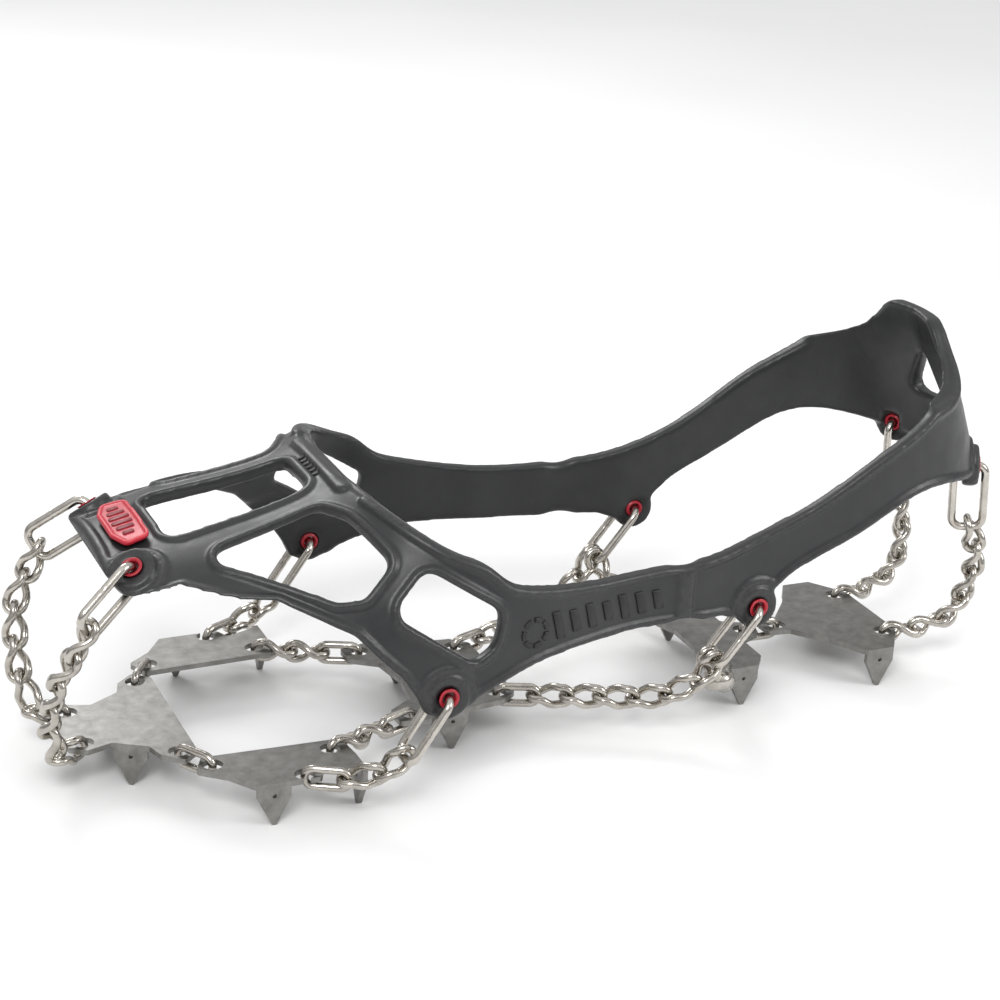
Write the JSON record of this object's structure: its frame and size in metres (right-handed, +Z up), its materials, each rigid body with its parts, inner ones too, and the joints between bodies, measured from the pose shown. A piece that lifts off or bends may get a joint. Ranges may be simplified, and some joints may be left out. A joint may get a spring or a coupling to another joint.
{
  "type": "shoe ice cleats",
  "caption": "Slip-on ice cleats: a stretchy rubber harness with open windows, and steel spike plates hung under the sole on short chains.",
  "frame": {"origin": "centre of the tread plane, the top face of the spike plates that the shoe's sole stands on, on the foot's centre line", "axes": "+X towards the toe, +Y to the left, +Z up"},
  "size_m": [0.2854, 0.12, 0.108],
  "materials": {
    "harness_rubber": "satin moulded elastomer",
    "badge_rubber": "satin red elastomer",
    "grommet_red": "glossy red insert",
    "ring_steel": "polished stainless wire",
    "chain_steel": "polished stainless wire",
    "plate_steel": "heat-treated stainless sheet, satin"
  },
  "bodies": {
    "harness_frame": {"harness": "harness_rubber", "badge": "badge_rubber", "grommets": "grommet_red"},
    "arch_left_end_links": {"arch_left_end_links": "chain_steel"},
    "arch_left_link_1": {"arch_left_link_1": "chain_steel"},
    "arch_left_link_2": {"arch_left_link_2": "chain_steel"},
    "arch_left_link_3": {"arch_left_link_3": "chain_steel"},
    "arch_left_link_4": {"arch_left_link_4": "chain_steel"},
    "arch_right_end_links": {"arch_right_end_links": "chain_steel"},
    "arch_right_link_1": {"arch_right_link_1": "chain_steel"},
    "arch_right_link_2": {"arch_right_link_2": "chain_steel"},
    "arch_right_link_3": {"arch_right_link_3": "chain_steel"},
    "arch_right_link_4": {"arch_right_link_4": "chain_steel"},
    "arch_to_heel_left_end_links": {"arch_to_heel_left_end_links": "chain_steel"},
    "arch_to_heel_right_end_links": {"arch_to_heel_right_end_links": "chain_steel"},
    "ball_left_link_1": {"ball_left_link_1": "chain_steel"},
    "ball_left_link_2": {"ball_left_link_2": "chain_steel"},
    "ball_left_link_3": {"ball_left_link_3": "chain_steel"},
    "ball_plate_left": {"ball_plate_left": "plate_steel"},
    "ball_plate_right": {"ball_plate_right": "plate_steel"},
    "ball_right_link_1": {"ball_right_link_1": "chain_steel"},
    "ball_right_link_2": {"ball_right_link_2": "chain_steel"},
    "ball_right_link_3": {"ball_right_link_3": "chain_steel"},
    "ball_to_middle_left_end_links": {"ball_to_middle_left_end_links": "chain_steel"},
    "ball_to_middle_right_end_links": {"ball_to_middle_right_end_links": "chain_steel"},
    "front_left_link_1": {"front_left_link_1": "chain_steel"},
    "front_left_link_2": {"front_left_link_2": "chain_steel"},
    "front_left_link_3": {"front_left_link_3": "chain_steel"},
    "front_left_link_4": {"front_left_link_4": "chain_steel"},
    "front_left_link_5": {"front_left_link_5": "chain_steel"},
    "front_left_link_6": {"front_left_link_6": "chain_steel"},
    "front_right_link_1": {"front_right_link_1": "chain_steel"},
    "front_right_link_2": {"front_right_link_2": "chain_steel"},
    "front_right_link_3": {"front_right_link_3": "chain_steel"},
    "front_right_link_4": {"front_right_link_4": "chain_steel"},
    "front_right_link_5": {"front_right_link_5": "chain_steel"},
    "front_right_link_6": {"front_right_link_6": "chain_steel"},
    "heel_front_plate": {"heel_front_plate": "plate_steel"},
    "heel_left_end_links": {"heel_left_end_links": "chain_steel"},
    "heel_left_link_1": {"heel_left_link_1": "chain_steel"},
    "heel_left_link_2": {"heel_left_link_2": "chain_steel"},
    "heel_left_link_3": {"heel_left_link_3": "chain_steel"},
    "heel_rear_plate": {"heel_rear_plate": "plate_steel"},
    "heel_right_end_links": {"heel_right_end_links": "chain_steel"},
    "heel_right_link_1": {"heel_right_link_1": "chain_steel"},
    "heel_right_link_2": {"heel_right_link_2": "chain_steel"},
    "heel_right_link_3": {"heel_right_link_3": "chain_steel"},
    "heel_to_heel_link": {"heel_to_heel_link": "chain_steel"},
    "middle_plate": {"middle_plate": "plate_steel"},
    "ring_arch_left": {"ring_arch_left": "ring_steel"},
    "ring_arch_right": {"ring_arch_right": "ring_steel"},
    "ring_ball_left": {"ring_ball_left": "ring_steel"},
    "ring_ball_right": {"ring_ball_right": "ring_steel"},
    "ring_front_left": {"ring_front_left": "ring_steel"},
    "ring_front_right": {"ring_front_right": "ring_steel"},
    "ring_heel_left": {"ring_heel_left": "ring_steel"},
    "ring_heel_right": {"ring_heel_right": "ring_steel"},
    "toe_plate": {"toe_plate": "plate_steel"},
    "toe_to_ball_link_left": {"toe_to_ball_link_left": "chain_steel"},
    "toe_to_ball_link_right": {"toe_to_ball_link_right": "chain_steel"}
  },
  "joints": [
    {"name": "ring_front_left_sway", "type": "hinge", "parent": "harness_frame", "child": "ring_front_left", "pos_m": [0.10636, 0.02156, 0.05229], "axis": [0.1977, -0.2229, -0.9546], "range_deg": [-6, 6]},
    {"name": "front_left_link_1_roll", "type": "hinge", "parent": "ring_front_left", "child": "front_left_link_1", "pos_m": [0.12134, 0.0272, 0.03756], "axis": [0.4512, -0.0243, -0.8921], "range_deg": [-6, 6]},
    {"name": "front_left_link_2_roll", "type": "hinge", "parent": "ring_front_left", "child": "front_left_link_2", "pos_m": [0.12559, 0.02568, 0.02962], "axis": [0.4212, -0.2739, -0.8646], "range_deg": [-6, 6]},
    {"name": "front_left_link_3_roll", "type": "hinge", "parent": "ring_front_left", "child": "front_left_link_3", "pos_m": [0.12769, 0.02254, 0.02136], "axis": [0.1089, -0.3576, -0.9275], "range_deg": [-6, 6]},
    {"name": "front_left_link_4_roll", "type": "hinge", "parent": "ring_front_left", "child": "front_left_link_4", "pos_m": [0.12825, 0.01889, 0.01297], "axis": [-0.0325, -0.4432, -0.8958], "range_deg": [-6, 6]},
    {"name": "front_left_link_5_roll", "type": "hinge", "parent": "ring_front_left", "child": "front_left_link_5", "pos_m": [0.12674, 0.01548, 0.00469], "axis": [-0.2654, -0.2572, -0.9292], "range_deg": [-4, 4]},
    {"name": "front_left_link_6_roll", "type": "hinge", "parent": "ring_front_left", "child": "front_left_link_6", "pos_m": [0.12234, 0.01221, -0.00075], "axis": [-0.8543, -0.5199, 0], "range_deg": [-2, 2]},
    {"name": "ring_ball_left_sway", "type": "hinge", "parent": "harness_frame", "child": "ring_ball_left", "pos_m": [0.0343, 0.054, 0.02216], "axis": [0.8057, -0.2417, -0.5407], "range_deg": [-6, 6]},
    {"name": "ball_left_link_1_roll", "type": "hinge", "parent": "ring_ball_left", "child": "ball_left_link_1", "pos_m": [0.04737, 0.05307, 0.00417], "axis": [0.7413, -0.2084, -0.638], "range_deg": [-6, 6]},
    {"name": "ball_left_link_2_roll", "type": "hinge", "parent": "ring_ball_left", "child": "ball_left_link_2", "pos_m": [0.05519, 0.05057, 0.0006], "axis": [0.8946, -0.3826, -0.2312], "range_deg": [-6, 6]},
    {"name": "ball_left_link_3_roll", "type": "hinge", "parent": "ring_ball_left", "child": "ball_left_link_3", "pos_m": [0.06327, 0.04649, -0.00076], "axis": [0.8842, -0.4672, 0], "range_deg": [-6, 6]},
    {"name": "ring_heel_left_sway", "type": "hinge", "parent": "harness_frame", "child": "ring_heel_left", "pos_m": [-0.14387, 0.02, 0.05328], "axis": [0.3369, -0.1071, -0.9354], "range_deg": [-6, 6]},
    {"name": "heel_left_link_1_roll", "type": "hinge", "parent": "ring_heel_left", "child": "heel_left_link_1", "pos_m": [-0.14684, 0.02097, 0.03131], "axis": [-0.4148, -0.0175, -0.9097], "range_deg": [-6, 6]},
    {"name": "heel_left_link_2_roll", "type": "hinge", "parent": "ring_heel_left", "child": "heel_left_link_2", "pos_m": [-0.14969, 0.02013, 0.02275], "axis": [-0.1242, -0.2107, -0.9696], "range_deg": [-6, 6]},
    {"name": "heel_left_link_3_roll", "type": "hinge", "parent": "ring_heel_left", "child": "heel_left_link_3", "pos_m": [-0.14941, 0.01817, 0.01384], "axis": [0.1369, -0.1698, -0.9759], "range_deg": [-6, 6]},
    {"name": "heel_left_end_links_roll", "type": "hinge", "parent": "ring_heel_left", "child": "heel_left_end_links", "pos_m": [-0.1486, 0.01718, 0.00813], "axis": [0.9308, -0.1296, -0.3418], "range_deg": [-3, 3]},
    {"name": "ring_arch_left_roll", "type": "hinge", "parent": "harness_frame", "child": "ring_arch_left", "pos_m": [-0.0642, 0.0382, 0.0271], "axis": [0.6222, 0, -0.7828], "range_deg": [-4, 4]},
    {"name": "arch_left_link_1_sway", "type": "hinge", "parent": "harness_frame", "child": "arch_left_link_1", "pos_m": [-0.05213, 0.0398, 0.01191], "axis": [0.8946, -0.396, -0.2072], "range_deg": [-5, 5]},
    {"name": "arch_left_link_2_roll", "type": "hinge", "parent": "arch_left_link_1", "child": "arch_left_link_2", "pos_m": [-0.04401, 0.03641, 0.00376], "axis": [0.7843, -0.3958, -0.4777], "range_deg": [-6, 6]},
    {"name": "arch_left_link_3_roll", "type": "hinge", "parent": "arch_left_link_1", "child": "arch_left_link_3", "pos_m": [-0.03658, 0.03235, 0.0004], "axis": [0.8756, -0.4476, -0.1816], "range_deg": [-6, 6]},
    {"name": "arch_left_link_4_roll", "type": "hinge", "parent": "arch_left_link_1", "child": "arch_left_link_4", "pos_m": [-0.02831, 0.02847, -0.00023], "axis": [0.9226, -0.3856, -0.0088], "range_deg": [-6, 6]},
    {"name": "arch_left_end_links_roll", "type": "hinge", "parent": "arch_left_link_1", "child": "arch_left_end_links", "pos_m": [-0.02291, 0.02621, -0.00028], "axis": [0.9229, -0.3847, -0.017], "range_deg": [-3, 3]},
    {"name": "arch_to_heel_left_end_links_roll", "type": "hinge", "parent": "harness_frame", "child": "arch_to_heel_left_end_links", "pos_m": [-0.05213, 0.0366, 0.01191], "axis": [-0.5793, -0.6381, -0.5072], "range_deg": [-4, 4]},
    {"name": "toe_to_ball_link_left_roll", "type": "hinge", "parent": "harness_frame", "child": "toe_to_ball_link_left", "pos_m": [0.09231, 0.02641, -0.00075], "axis": [-0.5446, 0.8387, 0], "range_deg": [-6, 6]},
    {"name": "ball_to_middle_left_end_links_roll", "type": "hinge", "parent": "harness_frame", "child": "ball_to_middle_left_end_links", "pos_m": [0.0575, 0.0325, -0.00075], "axis": [-0.9205, -0.3907, 0], "range_deg": [-6, 6]},
    {"name": "ball_plate_left_rock", "type": "hinge", "parent": "harness_frame", "child": "ball_plate_left", "pos_m": [0.06814, 0.03502, -0.00075], "axis": [0.8569, -0.5155, 0], "range_deg": [-3, 3]},
    {"name": "ring_front_right_sway", "type": "hinge", "parent": "harness_frame", "child": "ring_front_right", "pos_m": [0.10636, -0.02156, 0.05229], "axis": [0.1977, 0.2229, -0.9546], "range_deg": [-6, 6]},
    {"name": "front_right_link_1_roll", "type": "hinge", "parent": "ring_front_right", "child": "front_right_link_1", "pos_m": [0.12134, -0.0272, 0.03756], "axis": [0.4512, 0.0243, -0.8921], "range_deg": [-6, 6]},
    {"name": "front_right_link_2_roll", "type": "hinge", "parent": "ring_front_right", "child": "front_right_link_2", "pos_m": [0.12559, -0.02568, 0.02962], "axis": [0.4212, 0.2739, -0.8646], "range_deg": [-6, 6]},
    {"name": "front_right_link_3_roll", "type": "hinge", "parent": "ring_front_right", "child": "front_right_link_3", "pos_m": [0.12769, -0.02254, 0.02136], "axis": [0.1089, 0.3576, -0.9275], "range_deg": [-6, 6]},
    {"name": "front_right_link_4_roll", "type": "hinge", "parent": "ring_front_right", "child": "front_right_link_4", "pos_m": [0.12825, -0.01889, 0.01297], "axis": [-0.0325, 0.4432, -0.8958], "range_deg": [-6, 6]},
    {"name": "front_right_link_5_roll", "type": "hinge", "parent": "ring_front_right", "child": "front_right_link_5", "pos_m": [0.12674, -0.01548, 0.00469], "axis": [-0.2654, 0.2572, -0.9292], "range_deg": [-4, 4]},
    {"name": "front_right_link_6_roll", "type": "hinge", "parent": "ring_front_right", "child": "front_right_link_6", "pos_m": [0.12234, -0.01221, -0.00075], "axis": [-0.8543, 0.5199, 0], "range_deg": [-2, 2]},
    {"name": "ring_ball_right_sway", "type": "hinge", "parent": "harness_frame", "child": "ring_ball_right", "pos_m": [0.0343, -0.054, 0.02216], "axis": [0.8057, 0.2417, -0.5407], "range_deg": [-6, 6]},
    {"name": "ball_right_link_1_roll", "type": "hinge", "parent": "ring_ball_right", "child": "ball_right_link_1", "pos_m": [0.04737, -0.05307, 0.00417], "axis": [0.7413, 0.2084, -0.638], "range_deg": [-6, 6]},
    {"name": "ball_right_link_2_roll", "type": "hinge", "parent": "ring_ball_right", "child": "ball_right_link_2", "pos_m": [0.05519, -0.05057, 0.0006], "axis": [0.8946, 0.3826, -0.2312], "range_deg": [-6, 6]},
    {"name": "ball_right_link_3_roll", "type": "hinge", "parent": "ring_ball_right", "child": "ball_right_link_3", "pos_m": [0.06327, -0.04649, -0.00076], "axis": [0.8842, 0.4672, 0], "range_deg": [-6, 6]},
    {"name": "ring_heel_right_sway", "type": "hinge", "parent": "harness_frame", "child": "ring_heel_right", "pos_m": [-0.14387, -0.02, 0.05328], "axis": [0.3369, 0.1071, -0.9354], "range_deg": [-6, 6]},
    {"name": "heel_right_link_1_roll", "type": "hinge", "parent": "ring_heel_right", "child": "heel_right_link_1", "pos_m": [-0.14684, -0.02097, 0.03131], "axis": [-0.4148, 0.0175, -0.9097], "range_deg": [-6, 6]},
    {"name": "heel_right_link_2_roll", "type": "hinge", "parent": "ring_heel_right", "child": "heel_right_link_2", "pos_m": [-0.14969, -0.02013, 0.02275], "axis": [-0.1242, 0.2107, -0.9696], "range_deg": [-6, 6]},
    {"name": "heel_right_link_3_roll", "type": "hinge", "parent": "ring_heel_right", "child": "heel_right_link_3", "pos_m": [-0.14941, -0.01817, 0.01384], "axis": [0.1369, 0.1698, -0.9759], "range_deg": [-6, 6]},
    {"name": "heel_right_end_links_roll", "type": "hinge", "parent": "ring_heel_right", "child": "heel_right_end_links", "pos_m": [-0.1486, -0.01718, 0.00813], "axis": [0.9308, 0.1296, -0.3418], "range_deg": [-3, 3]},
    {"name": "ring_arch_right_roll", "type": "hinge", "parent": "harness_frame", "child": "ring_arch_right", "pos_m": [-0.0642, -0.0382, 0.0271], "axis": [0.6222, 0, -0.7828], "range_deg": [-4, 4]},
    {"name": "arch_right_link_1_sway", "type": "hinge", "parent": "harness_frame", "child": "arch_right_link_1", "pos_m": [-0.05213, -0.0398, 0.01191], "axis": [0.8946, 0.396, -0.2072], "range_deg": [-5, 5]},
    {"name": "arch_right_link_2_roll", "type": "hinge", "parent": "arch_right_link_1", "child": "arch_right_link_2", "pos_m": [-0.04401, -0.03641, 0.00376], "axis": [0.7843, 0.3958, -0.4777], "range_deg": [-6, 6]},
    {"name": "arch_right_link_3_roll", "type": "hinge", "parent": "arch_right_link_1", "child": "arch_right_link_3", "pos_m": [-0.03658, -0.03235, 0.0004], "axis": [0.8756, 0.4476, -0.1816], "range_deg": [-6, 6]},
    {"name": "arch_right_link_4_roll", "type": "hinge", "parent": "arch_right_link_1", "child": "arch_right_link_4", "pos_m": [-0.02831, -0.02847, -0.00023], "axis": [0.9226, 0.3856, -0.0088], "range_deg": [-6, 6]},
    {"name": "arch_right_end_links_roll", "type": "hinge", "parent": "arch_right_link_1", "child": "arch_right_end_links", "pos_m": [-0.02291, -0.02621, -0.00028], "axis": [0.9229, 0.3847, -0.017], "range_deg": [-3, 3]},
    {"name": "arch_to_heel_right_end_links_roll", "type": "hinge", "parent": "harness_frame", "child": "arch_to_heel_right_end_links", "pos_m": [-0.05213, -0.0366, 0.01191], "axis": [-0.5793, 0.6381, -0.5072], "range_deg": [-4, 4]},
    {"name": "toe_to_ball_link_right_roll", "type": "hinge", "parent": "harness_frame", "child": "toe_to_ball_link_right", "pos_m": [0.09231, -0.02641, -0.00075], "axis": [-0.5446, -0.8387, 0], "range_deg": [-6, 6]},
    {"name": "ball_to_middle_right_end_links_roll", "type": "hinge", "parent": "harness_frame", "child": "ball_to_middle_right_end_links", "pos_m": [0.0575, -0.0325, -0.00075], "axis": [-0.9205, 0.3907, 0], "range_deg": [-6, 6]},
    {"name": "ball_plate_right_rock", "type": "hinge", "parent": "harness_frame", "child": "ball_plate_right", "pos_m": [0.06814, -0.03502, -0.00075], "axis": [0.8569, 0.5155, 0], "range_deg": [-3, 3]},
    {"name": "heel_to_heel_link_roll", "type": "hinge", "parent": "harness_frame", "child": "heel_to_heel_link", "pos_m": [-0.08985, 0, -0.00075], "axis": [-1, 0, 0], "range_deg": [-4, 4]},
    {"name": "toe_plate_rock", "type": "hinge", "parent": "harness_frame", "child": "toe_plate", "pos_m": [0.1064, 0, -0.00075], "axis": [0, 1, 0], "range_deg": [-1.5, 1.5]},
    {"name": "middle_plate_rock", "type": "hinge", "parent": "harness_frame", "child": "middle_plate", "pos_m": [0.0162, 0, -0.00075], "axis": [0, 1, 0], "range_deg": [-1.5, 1.5]},
    {"name": "heel_front_plate_rock", "type": "hinge", "parent": "harness_frame", "child": "heel_front_plate", "pos_m": [-0.0753, 0, -0.00075], "axis": [0, 1, 0], "range_deg": [-2, 2]},
    {"name": "heel_rear_plate_rock", "type": "hinge", "parent": "harness_frame", "child": "heel_rear_plate", "pos_m": [-0.11, 0, -0.00075], "axis": [0, 1, 0], "range_deg": [-1.5, 1.5]}
  ]
}
